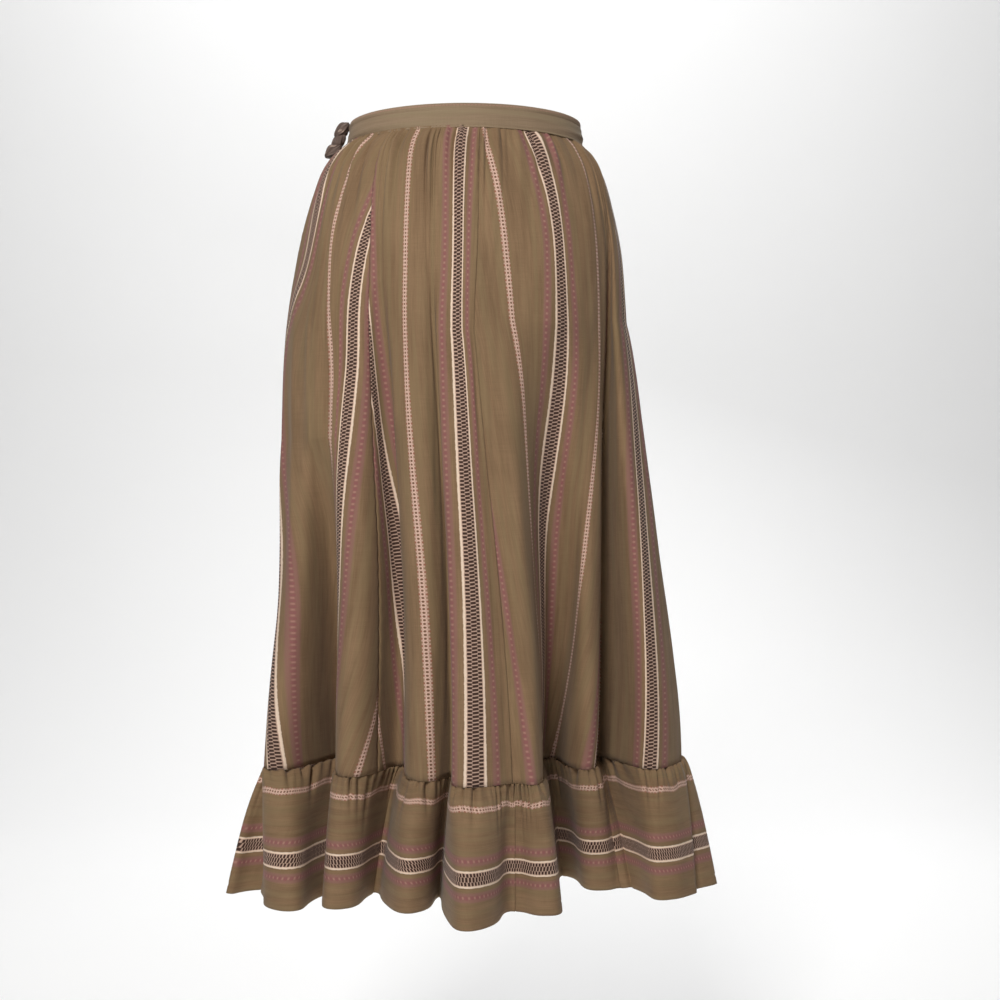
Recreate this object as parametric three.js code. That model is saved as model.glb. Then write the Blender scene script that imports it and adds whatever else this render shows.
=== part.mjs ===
// A gathered, gored midi skirt with a plain waistband and a deep gathered ruffle at the hem, as worn:
// the cloth stands hollow round a general figure, open at the waist and at the hem.
// Millimetres, +Z up. X runs to the right and -Y faces the viewer. The origin is the centre of the
// waist opening, half way up the waistband.

import * as THREE from 'three';
import { mergeVertices } from 'three/addons/utils/BufferGeometryUtils.js';

// Heights of the cut edges and seams
const BAND_TOP = 12.5;
const WAIST_SEAM = -12.5;
const RUFFLE_SEAM = -645;
const HEM = -776;

// Cloth
const WALL = 1.5;
const BAND_WALL = 2.6;
const SEAM_GAP = 0.3;

// Colours and finish
const OLIVE_BROWN = 0x80664f;
const BAND_OLIVE = 0x85745c;
const TIE_BROWN = 0x5d5045;
const COTTON_ROUGHNESS = 0.92;

// Waistband ellipse at its foot and at its top edge
const BAND_FOOT = { half: 120.6, front: 96.6, back: 96.6 };
const BAND_HEAD = { half: 117.4, front: 94.2, back: 94.2 };

// The form that the cloth hangs round, one row for each height: an ellipse with its own front and back
const LEVEL_COLUMNS = ['z', 'centreX', 'half', 'front', 'back'];
const LEVEL_ROWS = [
  [-12.5, -1, 119, 95, 95],
  [-25, -3, 133, 102, 101],
  [-45, -4, 145, 108, 107],
  [-85, -5, 158, 114, 116],
  [-130, -6, 167, 118, 126],
  [-210, -9, 175, 121, 134],
  [-350, -9, 177, 114, 136],
  [-500, 0, 178, 98, 132],
  [-645, 9, 205, 84, 128],
  [-776, 8, 240, 88, 140],
];

// The hanging folds, from the left side across the front and round the back. Each row gives the angle
// of the crest at the waist in degrees (0 at the front, + to the right), the places of the crest and of
// the crease after it at the ruffle seam and at the hem, their half breadths, and how far below the
// waist seam the fold begins.
const FOLD_COLUMNS = [
  'waist', 'seamX', 'seamY', 'hemX', 'hemY', 'half',
  'creaseSeamX', 'creaseSeamY', 'creaseHemX', 'creaseHemY', 'creaseHalf', 'start',
];
const FOLD_ROWS = {
  sideLeft: [-108, -204, 42, -242, -8, 13, -182, 22, -208, 8, 5, 340],
  frontA: [-72, -198, -36, -182, -78, 28, -126, 50, -144, -18, 8, 300],
  frontB: [-44, -119, -80, -126, -74, 20, -66, -8, -94, -2, 8, 150],
  frontC: [-20, -45, -102, -54, -90, 17, -12, -70, -26, -12, 5, 120],
  frontD: [-4, 0, -134, -1, -153, 19, 46, -110, 46, -74, 5, 200],
  frontE: [19, 70, -118, 90, -94, 10, 84, 40, 103, 74, 10, 190],
  frontF: [62, 124, -36, 142, 4, 17, 138, 54, 174, 18, 8, 70],
  frontG: [80, 192, -34, 204, -38, 18, 226, 26, 238, 4, 10, 180],
  sideRight: [103, 224, 64, 262, 42, 15, 184, 60, 216, 70, 7, 240],
  backA: [126, 168, 128, 190, 150, 17, 120, 84, 140, 92, 8, 60],
  backB: [146, 92, 142, 108, 172, 18, 62, 92, 76, 98, 8, 80],
  backC: [166, 34, 150, 40, 182, 17, 8, 104, 10, 112, 8, 70],
  backD: [187, -36, 146, -42, 176, 18, -70, 92, -80, 96, 8, 60],
  backE: [207, -108, 132, -126, 158, 17, -128, 80, -146, 86, 8, 80],
  backF: [229, -172, 98, -200, 112, 16, -176, 52, -206, 58, 7, 70],
};

// Drape: the drop over which the folds fan out from the waist, how fast they deepen, and how fast they
// spread down the ruffle
const FAN_DROP = 150;
const FOLD_GROWTH = 0.85;
const RUFFLE_GROWTH = 0.68;
const FULL_BREADTH_DROP = 300;
const BREADTH_AT_WAIST = 0.45;

// Places along the cloth are counted in steps, four to a fold: crest at 0.5, crease at 2.5
const STEPS_PER_FOLD = 4;
const STEPS = STEPS_PER_FOLD * Object.keys(FOLD_ROWS).length;

// Gathers under the waistband: one to a step
const WAIST_GATHER_STEPS = 1;
const WAIST_GATHER_HEIGHT = 2.3;
const WAIST_GATHER_RISE = 12;
const WAIST_GATHER_DROP = 42;

// Gathers at the head of the ruffle: four to three steps
const RUFFLE_GATHER_STEPS = 0.75;
const RUFFLE_GATHER_HEIGHT = 3.2;
const RUFFLE_GATHER_RISE = 7;
const RUFFLE_GATHER_DROP = 26;

// Panels of the skirt: the steps at their two seams, and the rings of each wall. A ring is a height and
// the number of columns to a step there, closer where the cloth is gathered.
const GORES = {
  gore_front_left: [2.5, 9.5],
  gore_front_centre: [9.5, 18.5],
  gore_front_right: [18.5, 26.5],
  gore_side_right: [26.5, 38.5],
  gore_back_right: [38.5, 46.5],
  gore_back_left: [46.5, 54.5],
  gore_side_left: [54.5, 62.5],
};
const GORE_RINGS = [
  [WAIST_SEAM - SEAM_GAP / 2, 4], [-23, 4], [-48, 4], [-85, 2], [-112, 2], [-140, 2], [-172, 2], [-205, 2],
  [-280, 2], [-365, 2], [-455, 2], [-550, 2], [-600, 2], [RUFFLE_SEAM + SEAM_GAP / 2, 2],
];

// The ruffle is one strip in four lengths, joined end to end
const RUFFLE_LENGTHS = {
  ruffle_front_left: [54, 78.75],
  ruffle_front_right: [18.75, 25.5],
  ruffle_side_right: [25.5, 39.75],
  ruffle_back: [39.75, 54],
};
const GATHERED = 16 / 3;
const OPENING = 8 / 3;
const RUFFLE_RINGS = [
  [RUFFLE_SEAM - SEAM_GAP / 2, GATHERED], [-652, GATHERED], [-668, GATHERED],
  [-695, GATHERED], [-735, OPENING], [HEM, OPENING],
];

// The waistband closes at the left side, where a short tie is knotted over it
const BAND_CLOSURE_ANGLE = -94;
const BAND_SIDE_ANGLE = 86;
const BAND_COLUMNS = 44;
const BAND_RINGS = [WAIST_SEAM + SEAM_GAP / 2, 0, BAND_TOP];
const TIE_LUMPS = {
  tie_upper_end: { at: [-126.4, 8, 11.6], radii: [7.6, 9, 6.2] },
  tie_knot: { at: [-128.9, 8, 0.2], radii: [8.4, 8, 4.9] },
  tie_lower_end: { at: [-133.6, 8, -10.8], radii: [11, 9, 5.8] },
};

const rowOf = (columns, values) => Object.fromEntries(columns.map((name, i) => [name, values[i]]));
const LEVELS = LEVEL_ROWS.map((values) => rowOf(LEVEL_COLUMNS, values));
const FOLDS = Object.values(FOLD_ROWS).map((values) => rowOf(FOLD_COLUMNS, values));
const FULL_DROP = WAIST_SEAM - RUFFLE_SEAM;

const clamp01 = (t) => Math.min(Math.max(t, 0), 1);
const mix = (a, b, t) => a + (b - a) * t;
const smooth = (t) => clamp01(t) ** 2 * (3 - 2 * clamp01(t));

// Slope of a column of the form at one row, from the rows on each side of it
function slopeAt(i, column) {
  const above = LEVELS[Math.max(i - 1, 0)];
  const below = LEVELS[Math.min(i + 1, LEVELS.length - 1)];
  return (below[column] - above[column]) / (below.z - above.z);
}

// The form at a height: a smooth curve through the rows for each column
function formAt(z) {
  let i = 0;
  while (i < LEVELS.length - 2 && z < LEVELS[i + 1].z) i += 1;
  const span = LEVELS[i + 1].z - LEVELS[i].z;
  const t = clamp01((z - LEVELS[i].z) / span);
  const form = { z };
  for (const column of LEVEL_COLUMNS.slice(1)) {
    const start = LEVELS[i][column];
    const end = LEVELS[i + 1][column];
    const rise = t ** 3 - 2 * t ** 2 + t;
    const fall = t ** 3 - t ** 2;
    form[column] = mix(start, end, smooth(t)) + span * (rise * slopeAt(i, column) + fall * slopeAt(i + 1, column));
  }
  return form;
}

// A point of the form at an angle, and the direction along the form there
function formPoint(form, angle) {
  const depth = Math.cos(angle) > 0 ? form.front : form.back;
  return new THREE.Vector2(form.centreX + form.half * Math.sin(angle), -depth * Math.cos(angle));
}
function formDirection(form, angle) {
  const depth = Math.cos(angle) > 0 ? form.front : form.back;
  return new THREE.Vector2(form.half * Math.cos(angle), depth * Math.sin(angle)).normalize();
}

// The angle at which a fold's crest leaves the form at the ruffle seam: its direction from the centre,
// with the form's own proportions taken out
function seamAngle(fold, form) {
  const depth = fold.seamY < 0 ? form.front : form.back;
  const angle = Math.atan2((fold.seamX - form.centreX) / form.half, -fold.seamY / depth);
  const turns = Math.round((THREE.MathUtils.degToRad(fold.waist) - angle) / (2 * Math.PI));
  return angle + turns * 2 * Math.PI;
}

// Control points of the cloth's section at a height, four to a fold: two on the crest, two in the crease
function controlPoints(z) {
  const form = formAt(z);
  const seamForm = formAt(Math.max(z, RUFFLE_SEAM));
  const drop = Math.min(WAIST_SEAM - z, FULL_DROP);
  const ruffle = Math.max((RUFFLE_SEAM - z) / (RUFFLE_SEAM - HEM), 0) ** RUFFLE_GROWTH;
  const fan = Math.exp(-drop / FAN_DROP) * (1 - (drop / FULL_DROP) ** 2);
  const breadth = mix(BREADTH_AT_WAIST, 1, smooth(drop / FULL_BREADTH_DROP));
  const seam = formAt(RUFFLE_SEAM);
  const angles = FOLDS.map((fold) => mix(seamAngle(fold, seam), THREE.MathUtils.degToRad(fold.waist), fan));
  const points = [];
  FOLDS.forEach((fold, i) => {
    const next = i + 1 < FOLDS.length ? angles[i + 1] : angles[0] + 2 * Math.PI;
    const between = (angles[i] + next) / 2;
    const grown = clamp01((drop - fold.start) / (FULL_DROP - fold.start)) ** FOLD_GROWTH;
    const crest = formPoint(seamForm, angles[i]).lerp(new THREE.Vector2(fold.seamX, fold.seamY), grown);
    const crease = formPoint(seamForm, between)
      .lerp(new THREE.Vector2(fold.creaseSeamX, fold.creaseSeamY), grown);
    crest.x += (fold.hemX - fold.seamX) * ruffle;
    crest.y += (fold.hemY - fold.seamY) * ruffle;
    crease.x += (fold.creaseHemX - fold.creaseSeamX) * ruffle;
    crease.y += (fold.creaseHemY - fold.creaseSeamY) * ruffle;
    const alongCrest = formDirection(form, angles[i]).multiplyScalar(fold.half * breadth);
    const alongCrease = formDirection(form, between).multiplyScalar(fold.creaseHalf * breadth);
    points.push(crest.clone().sub(alongCrest), crest.clone().add(alongCrest));
    points.push(crease.clone().sub(alongCrease), crease.clone().add(alongCrease));
  });
  return points;
}

// A closed uniform cubic B-spline through the control points: the point and the direction at a step
function splinePoint(points, step) {
  const i = Math.floor(step);
  const f = step - i;
  const place = [(1 - f) ** 3, 3 * f ** 3 - 6 * f ** 2 + 4, -3 * f ** 3 + 3 * f ** 2 + 3 * f + 1, f ** 3];
  const slope = [-((1 - f) ** 2), 3 * f ** 2 - 4 * f, -3 * f ** 2 + 2 * f + 1, f ** 2];
  const point = new THREE.Vector2();
  const direction = new THREE.Vector2();
  for (let k = 0; k < 4; k += 1) {
    const control = points[(((i - 1 + k) % STEPS) + STEPS) % STEPS];
    point.addScaledVector(control, place[k] / 6);
    direction.addScaledVector(control, slope[k] / 2);
  }
  return { point, direction: direction.normalize() };
}

// How far the gathers stand out: they swell just below their seam and fade, some sooner than others
function gatherHeight(step, z) {
  if (z > RUFFLE_SEAM) {
    const below = WAIST_SEAM - z;
    const reach = WAIST_GATHER_DROP * (1 + 0.35 * Math.sin(1.9 * step) + 0.2 * Math.sin(0.7 * step));
    const swell = mix(0.5, 1, smooth(below / WAIST_GATHER_RISE)) * Math.exp(-((below / reach) ** 2) / 2);
    return WAIST_GATHER_HEIGHT * swell * Math.cos((2 * Math.PI * step) / WAIST_GATHER_STEPS);
  }
  const below = RUFFLE_SEAM - z;
  const reach = RUFFLE_GATHER_DROP * (1 + 0.3 * Math.sin(2.3 * step));
  const swell = mix(0.35, 1, smooth(below / RUFFLE_GATHER_RISE)) * Math.exp(-((below / reach) ** 2) / 2);
  return RUFFLE_GATHER_HEIGHT * swell * Math.cos((2 * Math.PI * step) / RUFFLE_GATHER_STEPS);
}

// The strip of triangles that joins two rows of points, which may differ in number
function strip(upper, lower) {
  const triangles = [];
  let i = 0;
  let j = 0;
  while (i < upper.length - 1 || j < lower.length - 1) {
    const nextUpper = (i + 1) / (upper.length - 1);
    const nextLower = (j + 1) / (lower.length - 1);
    if (j === lower.length - 1 || (i < upper.length - 1 && nextUpper <= nextLower + 1e-9)) {
      triangles.push([upper[i], lower[j], upper[i + 1]]);
      i += 1;
    } else {
      triangles.push([upper[i], lower[j], lower[j + 1]]);
      j += 1;
    }
  }
  return triangles;
}

// A closed wall from rows of outer and inner points, top row first: two faces, split the same way so that
// they stay apart, and the four cut edges
function wallGeometry(rows) {
  const positions = [];
  const add = (point) => positions.push(point.x, point.y, point.z) / 3 - 1;
  const outer = rows.map((row) => row.map((pair) => add(pair.outer)));
  const inner = rows.map((row) => row.map((pair) => add(pair.inner)));
  const triangles = [];
  for (let r = 0; r + 1 < rows.length; r += 1) {
    triangles.push(...strip(outer[r], outer[r + 1]));
    triangles.push(...strip(inner[r], inner[r + 1]).map((triangle) => triangle.reverse()));
    const sideQuad = (column) => [inner[r], outer[r], inner[r + 1], outer[r + 1]].map((row) => row.at(column));
    const [a, b, c, d] = sideQuad(-1);
    triangles.push([a, b, c], [c, b, d]);
    const [e, f, g, h] = sideQuad(0);
    triangles.push([e, g, f], [g, h, f]);
  }
  triangles.push(...strip(inner[0], outer[0]), ...strip(outer.at(-1), inner.at(-1)));
  const geometry = new THREE.BufferGeometry();
  geometry.setAttribute('position', new THREE.Float32BufferAttribute(positions, 3));
  geometry.setIndex(triangles.flat());
  geometry.computeVertexNormals();
  return geometry;
}

// A point of the cloth with its gather
function clothPoint(points, step, z) {
  const { point, direction } = splinePoint(points, step);
  return point.addScaledVector(new THREE.Vector2(direction.y, -direction.x), gatherHeight(step, z));
}

// One ring of a cloth panel between two seams: its points on both faces of the wall. The wall stands
// square to the line between the neighbours on each side, past the seams too.
function clothRow(z, [first, last], columnsPerStep) {
  const points = controlPoints(z);
  const columns = Math.round((last - first) * columnsPerStep);
  const row = [];
  for (let c = 0; c <= columns; c += 1) {
    const [before, point, after] = [c - 1, c, c + 1].map((n) => clothPoint(points, mix(first, last, n / columns), z));
    const direction = after.sub(before).normalize();
    const outward = new THREE.Vector2(direction.y, -direction.x);
    if (c === 0) point.addScaledVector(direction, SEAM_GAP / 2);
    if (c === columns) point.addScaledVector(direction, -SEAM_GAP / 2);
    const faces = [WALL / 2, -WALL / 2].map((side) => point.clone().addScaledVector(outward, side));
    const [outer, inner] = faces.map((face) => new THREE.Vector3(face.x, face.y, z));
    row.push({ outer, inner });
  }
  return row;
}
const clothPanel = (seams, rings) => wallGeometry(rings.map(([z, columns]) => clothRow(z, seams, columns)));

// Half of the waistband, between two angles
function bandPiece(fromDegrees, toDegrees) {
  const rows = [...BAND_RINGS].reverse().map((z) => {
    const up = (z - WAIST_SEAM) / (BAND_TOP - WAIST_SEAM);
    const form = { centreX: 0 };
    for (const size of ['half', 'front', 'back']) form[size] = mix(BAND_FOOT[size], BAND_HEAD[size], up);
    const row = [];
    for (let c = 0; c <= BAND_COLUMNS; c += 1) {
      const angle = THREE.MathUtils.degToRad(mix(fromDegrees, toDegrees, c / BAND_COLUMNS));
      const point = formPoint(form, angle);
      const direction = formDirection(form, angle);
      if (c === 0) point.addScaledVector(direction, SEAM_GAP / 2);
      if (c === BAND_COLUMNS) point.addScaledVector(direction, -SEAM_GAP / 2);
      const outward = new THREE.Vector2(direction.y, -direction.x);
      const faces = [BAND_WALL / 2, -BAND_WALL / 2].map((side) => point.clone().addScaledVector(outward, side));
      const [outer, inner] = faces.map((face) => new THREE.Vector3(face.x, face.y, z));
      row.push({ outer, inner });
    }
    return row;
  });
  return wallGeometry(rows);
}

// One rounded lump of the knotted tie
function tieLump({ radii }) {
  const sphere = new THREE.SphereGeometry(1, 14, 10).scale(...radii);
  sphere.deleteAttribute('normal');
  sphere.deleteAttribute('uv');
  const geometry = mergeVertices(sphere, 1e-4);
  geometry.computeVertexNormals();
  return geometry;
}

const cotton = (color) => new THREE.MeshStandardMaterial({ color, roughness: COTTON_ROUGHNESS, metalness: 0 });
function piece(name, geometry, color) {
  const mesh = new THREE.Mesh(geometry, cotton(color));
  mesh.name = name;
  return mesh;
}

const group = new THREE.Group();
for (const [name, seams] of Object.entries(GORES)) {
  group.add(piece(name, clothPanel(seams, GORE_RINGS), OLIVE_BROWN));
}
for (const [name, seams] of Object.entries(RUFFLE_LENGTHS)) {
  group.add(piece(name, clothPanel(seams, RUFFLE_RINGS), OLIVE_BROWN));
}
group.add(piece('waistband_front', bandPiece(BAND_CLOSURE_ANGLE, BAND_SIDE_ANGLE), BAND_OLIVE));
group.add(piece('waistband_back', bandPiece(BAND_SIDE_ANGLE, BAND_CLOSURE_ANGLE + 360), BAND_OLIVE));
for (const [name, lump] of Object.entries(TIE_LUMPS)) {
  const mesh = piece(name, tieLump(lump), TIE_BROWN);
  mesh.position.set(...lump.at);
  group.add(mesh);
}

export default group;
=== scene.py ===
# %% [markdown]
# # A gathered midi skirt, seven gores and a ruffle
# The skirt is cut from one striped cotton. Seven flared gores are gathered into a plain waistband, and a
# strip of the same cloth, turned so that its stripes run round, is gathered on as a ruffle. Every surface
# here is a function of two numbers: a place along the cloth, counted in steps round the body, and a drop
# below the waist seam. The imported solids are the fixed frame, so their few sizes in millimetres are repeated
# here, and each surface becomes metres only when it is put into its mesh.

# %% Load the frame and keep its box
import bpy
import math
import numpy as np
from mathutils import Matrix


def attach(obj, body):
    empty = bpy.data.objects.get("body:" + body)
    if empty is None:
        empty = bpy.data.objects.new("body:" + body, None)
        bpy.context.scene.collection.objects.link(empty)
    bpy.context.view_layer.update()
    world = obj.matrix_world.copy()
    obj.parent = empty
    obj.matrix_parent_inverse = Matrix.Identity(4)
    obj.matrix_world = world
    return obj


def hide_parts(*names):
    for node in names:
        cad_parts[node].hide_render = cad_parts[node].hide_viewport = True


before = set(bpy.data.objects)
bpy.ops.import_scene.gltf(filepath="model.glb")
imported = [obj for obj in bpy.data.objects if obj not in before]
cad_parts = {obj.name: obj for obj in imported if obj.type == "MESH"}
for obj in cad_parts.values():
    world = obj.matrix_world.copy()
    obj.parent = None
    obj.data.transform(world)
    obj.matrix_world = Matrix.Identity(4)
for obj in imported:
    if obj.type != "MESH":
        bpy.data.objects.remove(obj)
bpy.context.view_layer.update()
MM = 0.001

# %% [markdown]
# ## The camera
# The skirt was photographed from straight in front, level with the middle of its length, from about 1.6 m.
# The lens follows from that distance. Turning the camera would slant the upright edges, so a small sideways
# shift of the lens puts the skirt where the picture has it instead.

# %% Camera
CAMERA_DISTANCE = 1.600
CAMERA_HEIGHT = -0.373
FOCAL_PIXELS = 1553
PICTURE_PIXELS = 1000
AXIS_PIXEL = 465

camera_data = bpy.data.cameras.new("camera")
camera_data.sensor_width = 36.0
camera_data.lens = camera_data.sensor_width * FOCAL_PIXELS / PICTURE_PIXELS
camera_data.shift_x = (PICTURE_PIXELS / 2 - AXIS_PIXEL) / PICTURE_PIXELS
camera_data.clip_start = 0.05
camera_data.clip_end = 30.0
camera = bpy.data.objects.new("camera", camera_data)
camera.location = (0.0, -CAMERA_DISTANCE, CAMERA_HEIGHT)
camera.rotation_euler = (math.radians(90), 0, 0)
bpy.context.scene.collection.objects.link(camera)
bpy.context.scene.camera = camera
print("lens in mm:", round(camera_data.lens, 2))

# %% [markdown]
# ## The form under the cloth
# A worn skirt touches the body at the waist and hips and hangs free below. It could be fitted on a modelled
# figure, but only the form that the cloth hangs round matters: an ellipse at each height, with its own front
# and back depth. Ten rows are enough, because a smooth curve through each column gives every height between.

# %% Heights and the form
BAND_TOP = 12.5
WAIST_SEAM = -12.5
RUFFLE_SEAM = -645.0
HEM = -776.0
FULL_DROP = WAIST_SEAM - RUFFLE_SEAM

# z, centre x, half width, front depth, back depth, in millimetres
FORM = np.array([
    (-12.5, -1, 119, 95, 95),
    (-25, -3, 133, 102, 101),
    (-45, -4, 145, 108, 107),
    (-85, -5, 158, 114, 116),
    (-130, -6, 167, 118, 126),
    (-210, -9, 175, 121, 134),
    (-350, -9, 177, 114, 136),
    (-500, 0, 178, 98, 132),
    (-645, 9, 205, 84, 128),
    (-776, 8, 240, 88, 140)], float)


def smooth(t):
    """Rises from 0 to 1 with level ends: 3 t squared less 2 t cubed."""
    t = np.clip(t, 0, 1)
    return t * t * (3 - 2 * t)


def curve_through(places, values, at):
    """A smooth curve through rows of values at rising places: a cubic between two places, whose slope at each
    is taken from the rows on both sides of it."""
    before = np.maximum(np.arange(len(places)) - 1, 0)
    after = np.minimum(np.arange(len(places)) + 1, len(places) - 1)
    slopes = (values[after] - values[before]) / (places[after] - places[before])[:, None]
    i = np.clip(np.searchsorted(places, at, side="right") - 1, 0, len(places) - 2)
    span = (places[i + 1] - places[i])[:, None]
    t = np.clip((at - places[i])[:, None] / span, 0, 1)
    level = values[i] + (values[i + 1] - values[i]) * smooth(t)
    return level + span * ((t ** 3 - 2 * t ** 2 + t) * slopes[i] + (t ** 3 - t ** 2) * slopes[i + 1])


def form_at(z):
    """The four sizes of the form at each height."""
    return curve_through(-FORM[:, 0], FORM[:, 1:], -z)


print("half width at the hip in mm:", form_at(np.array([-200.0]))[0, 1].round(1))

# %% [markdown]
# ## The folds
# Cloth that is wider than the form falls into folds. A cloth simulation would make some folds, but not these
# ones, so they are listed one by one. Each row below is one fold: where its crest starts at the waist, where
# the crest and the crease beside it arrive at the ruffle seam and at the hem, how broad they are, and how far
# down the fold begins. Four control points a fold and a closed B-spline turn the rows into one smooth section
# at any height, and deep folds may tuck in behind their neighbours.

# %% The fold table
FOLD_COLUMNS = ("waist", "seam_x", "seam_y", "hem_x", "hem_y", "half",
                "crease_seam_x", "crease_seam_y", "crease_hem_x", "crease_hem_y", "crease_half", "start")
FOLD_ROWS = np.array([
    (-108, -204, 42, -242, -8, 13, -182, 22, -208, 8, 5, 340),      # left side
    (-72, -198, -36, -182, -78, 28, -126, 50, -144, -18, 8, 300),   # front, left to right
    (-44, -119, -80, -126, -74, 20, -66, -8, -94, -2, 8, 150),
    (-20, -45, -102, -54, -90, 17, -12, -70, -26, -12, 5, 120),
    (-4, 0, -134, -1, -153, 19, 46, -110, 46, -74, 5, 200),
    (19, 70, -118, 90, -94, 10, 84, 40, 103, 74, 10, 190),
    (62, 124, -36, 142, 4, 17, 138, 54, 174, 18, 8, 70),
    (80, 192, -34, 204, -38, 18, 226, 26, 238, 4, 10, 180),
    (103, 224, 64, 262, 42, 15, 184, 60, 216, 70, 7, 240),          # right side
    (126, 168, 128, 190, 150, 17, 120, 84, 140, 92, 8, 60),        # back, right to left
    (146, 92, 142, 108, 172, 18, 62, 92, 76, 98, 8, 80),
    (166, 34, 150, 40, 182, 17, 8, 104, 10, 112, 8, 70),
    (187, -36, 146, -42, 176, 18, -70, 92, -80, 96, 8, 60),
    (207, -108, 132, -126, 158, 17, -128, 80, -146, 86, 8, 80),
    (229, -172, 98, -200, 112, 16, -176, 52, -206, 58, 7, 70)], float)
FOLD = dict(zip(FOLD_COLUMNS, FOLD_ROWS.T))
STEPS = 4 * len(FOLD_ROWS)
FAN_DROP = 150.0
FOLD_GROWTH = 0.85
RUFFLE_GROWTH = 0.68
FULL_BREADTH_DROP = 300.0
BREADTH_AT_WAIST = 0.45
print("folds:", len(FOLD_ROWS), "steps round the cloth:", STEPS)


# %% Control points of the sections
def form_point(form, angle):
    """The point of the ellipse at an angle: centre plus half width times sine across, depth times cosine."""
    depth = np.where(np.cos(angle) > 0, form[:, 2:3], form[:, 3:4])
    return np.stack([form[:, 0:1] + form[:, 1:2] * np.sin(angle), -depth * np.cos(angle)], axis=-1)


def form_direction(form, angle):
    """The unit direction along the ellipse at an angle."""
    depth = np.where(np.cos(angle) > 0, form[:, 2:3], form[:, 3:4])
    along = np.stack([form[:, 1:2] * np.cos(angle), depth * np.sin(angle)], axis=-1)
    return along / np.linalg.norm(along, axis=-1, keepdims=True)


def control_points(z):
    """Four points a fold at each height: crest less and plus its half breadth along the form, then the
    crease the same. Each place moves from the form to its place at the ruffle seam as the fold grows."""
    form, hanging = form_at(z), form_at(np.maximum(z, RUFFLE_SEAM))
    seam = form_at(np.array([RUFFLE_SEAM]))[0]
    waist = np.radians(FOLD["waist"])
    depth = np.where(FOLD["seam_y"] < 0, seam[2], seam[3])
    at_seam = np.arctan2((FOLD["seam_x"] - seam[0]) / seam[1], -FOLD["seam_y"] / depth)
    at_seam = at_seam + 2 * np.pi * np.round((waist - at_seam) / (2 * np.pi))
    drop = np.minimum(WAIST_SEAM - z, FULL_DROP)[:, None]
    fan = np.exp(-drop / FAN_DROP) * (1 - (drop / FULL_DROP) ** 2)
    angle = at_seam + (waist - at_seam) * fan
    between = (angle + np.concatenate([angle[:, 1:], angle[:, :1] + 2 * np.pi], axis=1)) / 2
    grown = np.clip((drop - FOLD["start"]) / (FULL_DROP - FOLD["start"]), 0, 1)[..., None] ** FOLD_GROWTH
    ruffle = np.maximum((RUFFLE_SEAM - z) / (RUFFLE_SEAM - HEM), 0)[:, None, None] ** RUFFLE_GROWTH
    breadth = (BREADTH_AT_WAIST + (1 - BREADTH_AT_WAIST) * smooth(drop / FULL_BREADTH_DROP))[..., None]
    corners = []
    for name, turn, half in (("", angle, "half"), ("crease_", between, "crease_half")):
        place = np.stack([FOLD[name + "seam_x"], FOLD[name + "seam_y"]], axis=-1)
        hem = np.stack([FOLD[name + "hem_x"], FOLD[name + "hem_y"]], axis=-1)
        middle = form_point(hanging, turn) * (1 - grown) + place * grown + (hem - place) * ruffle
        reach = form_direction(form, turn) * FOLD[half][:, None] * breadth
        corners += [middle - reach, middle + reach]
    return np.stack(corners, axis=2).reshape(len(z), STEPS, 2)


def section_points(steps, z):
    """A closed uniform cubic B-spline through the control points, for every height and every step."""
    points = control_points(z)
    whole = np.floor(steps).astype(int)
    f = steps - whole
    weights = ((1 - f) ** 3, 3 * f ** 3 - 6 * f ** 2 + 4, -3 * f ** 3 + 3 * f ** 2 + 3 * f + 1, f ** 3)
    flat = sum(points[:, (whole + k - 1) % STEPS] * weight[:, None] / 6 for k, weight in enumerate(weights))
    height = np.broadcast_to(z[:, None, None], flat.shape[:2] + (1,))
    return np.concatenate([flat, height], axis=-1)


seam_section = section_points(np.linspace(0, STEPS, 2000), np.array([RUFFLE_SEAM + 1]))[0]
girth = np.linalg.norm(np.diff(seam_section, axis=0), axis=-1).sum()
print("cloth round the ruffle seam in mm:", round(float(girth)))


# %% [markdown]
# ## Where the cloth's pattern lies
# The stripes are woven along the cloth, so they run straight down a gore that lies flat and meet its
# slanting seams at an angle. On the body the gathers and folds carry them aside. A pattern projected from the
# front would smear over the folds, so every point of a gore knows its place on the flat cloth. Each row below
# follows one stripe: its place across the cloth in millimetres, and the steps round the body where it lies at
# five drops below the waist. Between two stripes a point's place is its share of the way, measured along the
# folds.

# %% Gores
STRIPE_DROPS = np.array([0.0, 110.0, 240.0, 400.0, 632.5])

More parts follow.
